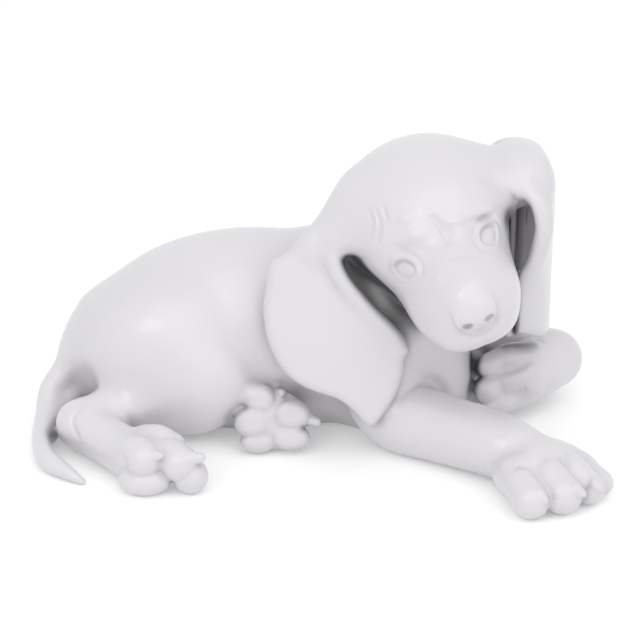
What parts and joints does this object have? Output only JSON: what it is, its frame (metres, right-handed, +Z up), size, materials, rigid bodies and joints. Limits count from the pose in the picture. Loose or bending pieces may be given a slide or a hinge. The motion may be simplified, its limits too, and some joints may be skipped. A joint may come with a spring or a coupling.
{
  "type": "animal figurine",
  "caption": "White glazed porcelain figurine of a long-eared puppy lying down with its head turned and tilted to the viewer.",
  "frame": {"origin": "Middle of the footprint of the whole figurine, on the face it stands on", "axes": "+X towards the head end along the body, +Y away from the side that the face looks to, +Z up"},
  "size_m": [0.2084, 0.131, 0.1127],
  "materials": {
    "glaze": "gloss",
    "slip": "matte"
  },
  "bodies": {
    "root": {"trunk": "glaze", "head": "glaze", "neck_slip": "slip", "right_ear": "glaze", "right_ear_slip": "slip", "left_ear": "glaze", "left_ear_slip": "slip", "right_foreleg": "glaze", "right_foreleg_slip": "slip", "left_foreleg": "glaze", "left_foreleg_slip": "slip", "right_hind_leg": "glaze", "right_hind_leg_slip": "slip", "left_hind_foot": "glaze", "left_hind_foot_slip": "slip", "tail": "glaze", "tail_slip": "slip"}
  },
  "joints": []
}
